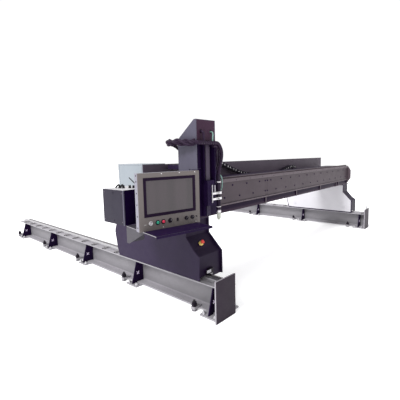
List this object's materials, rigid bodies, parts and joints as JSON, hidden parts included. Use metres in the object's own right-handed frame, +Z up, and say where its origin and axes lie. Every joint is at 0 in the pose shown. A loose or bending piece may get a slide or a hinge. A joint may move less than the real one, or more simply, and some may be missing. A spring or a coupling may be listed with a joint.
{
  "type": "cnc plasma table",
  "caption": "Gantry cutting table: two floor rails, a rack-driven gantry with cross beam, torch carriage with height slide, swivel console and cabinets",
  "frame": {"origin": "on the floor under the middle of the machine's box", "axes": "+X across the rails towards the far rail, +Y along the rails away from the operator, +Z up"},
  "size_m": [5.751, 5.432, 1.92],
  "materials": {
    "rail_steel": "worn mill-finished steel",
    "dark_paint": "satin dark paint",
    "side_paint": "satin grey paint",
    "bare_steel": "ground steel",
    "beam_paint": "satin warm grey paint",
    "motor_black": "black paint",
    "chain_plastic": "black plastic links",
    "gland_plastic": "black plastic",
    "pale_paint": "pale grey powder coat",
    "nose_yellow": "yellow plastic",
    "stop_red": "red plastic",
    "hose_wrap": "black spiral wrap",
    "gas_green": "pale green hose",
    "torch_black": "black moulded body",
    "console_sheet": "pale powder coat",
    "console_beige": "beige powder coat",
    "screen_dark": "dark glass and bezel",
    "trim_black": "black plastic",
    "button_green": "green plastic",
    "button_red": "red plastic"
  },
  "bodies": {
    "base": {"rail_beams": "rail_steel", "rail_gussets": "dark_paint", "foot_plates": "side_paint", "floor_anchors": "bare_steel", "levelling_jacks": "side_paint", "end_plates": "side_paint", "guide_bars": "bare_steel", "rail_racks": "bare_steel", "rail_clips": "dark_paint"},
    "gantry": {"carriage_sides": "side_paint", "carriage_covers": "dark_paint", "carriage_tops": "side_paint", "motor_mounts": "side_paint", "wheel_axles": "bare_steel", "drive_motors": "motor_black", "beam_box": "dark_paint", "beam_face": "beam_paint", "beam_guides": "bare_steel", "beam_rack": "bare_steel", "beam_end_plates": "beam_paint", "beam_bolts": "dark_paint", "cable_tray": "side_paint", "drag_chain": "chain_plastic", "cabinet_shell": "side_paint", "cabinet_cover": "dark_paint", "side_brackets": "side_paint", "cable_glands": "gland_plastic", "power_cabinet": "pale_paint", "nose_fittings": "nose_yellow"},
    "front_wheel_set": {"front_wheels": "bare_steel"},
    "rear_wheel_set": {"rear_wheels": "bare_steel"},
    "near_pinion_set": {"near_pinion": "bare_steel"},
    "far_pinion_set": {"far_pinion": "bare_steel"},
    "door": {"cabinet_door": "pale_paint"},
    "stop_button": {"estop_button": "stop_red"},
    "torch_carriage": {"carriage_plate": "dark_paint", "guide_blocks": "side_paint", "column_shell": "side_paint", "column_cover": "dark_paint", "z_rail": "bare_steel", "x_motor": "motor_black", "chain_arm": "side_paint", "hose_bundle": "hose_wrap"},
    "torch_pinion": {"x_pinion": "bare_steel"},
    "height_slide": {"z_slide": "dark_paint", "torch_holder": "bare_steel", "torch": "torch_black", "torch_lead": "hose_wrap", "gas_hose": "gas_green"},
    "console": {"console_shell": "console_sheet", "console_panel": "console_beige", "console_screen": "screen_dark", "console_shelf": "side_paint", "console_trim": "trim_black"},
    "start_button": {"green_button": "button_green"},
    "off_button": {"red_button": "button_red"},
    "key": {"key_switch": "bare_steel"},
    "selector": {"selector_switch": "trim_black"},
    "feed_dial": {"feed_knob": "trim_black"},
    "height_dial": {"height_knob": "trim_black"}
  },
  "joints": [
    {"name": "gantry_travel", "type": "slide", "parent": "base", "child": "gantry", "axis": [0, 1, 0], "range_m": [-0.2, 3.45]},
    {"name": "torch_travel", "type": "slide", "parent": "gantry", "child": "torch_carriage", "axis": [1, 0, 0], "range_m": [-0.02, 4.1], "deforming": ["drag_chain"]},
    {"name": "height_travel", "type": "slide", "parent": "torch_carriage", "child": "height_slide", "axis": [0, 0, 1], "range_m": [-0.1, 0.2], "deforming": ["torch_lead"]},
    {"name": "console_swivel", "type": "hinge", "parent": "gantry", "child": "console", "pos_m": [-2.50247, -2.1, 0.925], "axis": [0, 0, -1], "range_deg": [0, 30]},
    {"name": "cabinet_door_hinge", "type": "hinge", "parent": "gantry", "child": "door", "pos_m": [-1.85447, -1.03, 1.2], "axis": [0, 0, -1], "range_deg": [0, 110]},
    {"name": "front_wheel_spin", "type": "hinge", "parent": "gantry", "child": "front_wheel_set", "pos_m": [-2.11447, -2.241, 0.4053], "axis": [-1, 0, 0], "continuous": true},
    {"name": "rear_wheel_spin", "type": "hinge", "parent": "gantry", "child": "rear_wheel_set", "pos_m": [-2.11447, -1.121, 0.4053], "axis": [-1, 0, 0], "continuous": true},
    {"name": "near_pinion_spin", "type": "hinge", "parent": "gantry", "child": "near_pinion_set", "pos_m": [-1.96827, -1.681, 0.31], "axis": [0, 0, 1], "continuous": true},
    {"name": "far_pinion_spin", "type": "hinge", "parent": "gantry", "child": "far_pinion_set", "pos_m": [2.77173, -1.681, 0.31], "axis": [0, 0, 1], "continuous": true},
    {"name": "torch_pinion_spin", "type": "hinge", "parent": "torch_carriage", "child": "torch_pinion", "pos_m": [-2.09447, -2.2658, 1.32], "axis": [0, 0, 1], "continuous": true},
    {"name": "stop_press", "type": "slide", "parent": "gantry", "child": "stop_button", "axis": [0, 0.7477, -0.664], "range_m": [0, 0.005], "stiffness_N_per_m": 400, "springref_m": -0.003},
    {"name": "start_press", "type": "slide", "parent": "console", "child": "start_button", "axis": [0.1736, 0.9848, 0], "range_m": [0, 0.004], "stiffness_N_per_m": 400, "springref_m": -0.002},
    {"name": "off_press", "type": "slide", "parent": "console", "child": "off_button", "axis": [0.1736, 0.9848, 0], "range_m": [0, 0.004], "stiffness_N_per_m": 400, "springref_m": -0.002},
    {"name": "key_turn", "type": "hinge", "parent": "console", "child": "key", "pos_m": [-2.7626, -2.34861, 0.989], "axis": [0.1736, 0.9848, 0], "range_deg": [0, 90]},
    {"name": "selector_turn", "type": "hinge", "parent": "console", "child": "selector", "pos_m": [-2.56859, -2.38282, 0.989], "axis": [0.1736, 0.9848, 0], "range_deg": [-45, 45]},
    {"name": "feed_dial_turn", "type": "hinge", "parent": "console", "child": "feed_dial", "pos_m": [-2.39329, -2.41372, 0.989], "axis": [0.1736, 0.9848, 0], "range_deg": [-135, 135]},
    {"name": "height_dial_turn", "type": "hinge", "parent": "console", "child": "height_dial", "pos_m": [-2.32633, -2.42553, 0.989], "axis": [0.1736, 0.9848, 0], "range_deg": [-135, 135]}
  ],
  "couplings": [
    {"joint": "front_wheel_spin", "follows": "gantry_travel", "rad_per_m": 13.333},
    {"joint": "rear_wheel_spin", "follows": "gantry_travel", "rad_per_m": 13.333},
    {"joint": "near_pinion_spin", "follows": "gantry_travel", "rad_per_m": 18.519},
    {"joint": "far_pinion_spin", "follows": "gantry_travel", "rad_per_m": 18.519},
    {"joint": "torch_pinion_spin", "follows": "torch_travel", "rad_per_m": 31.25}
  ]
}
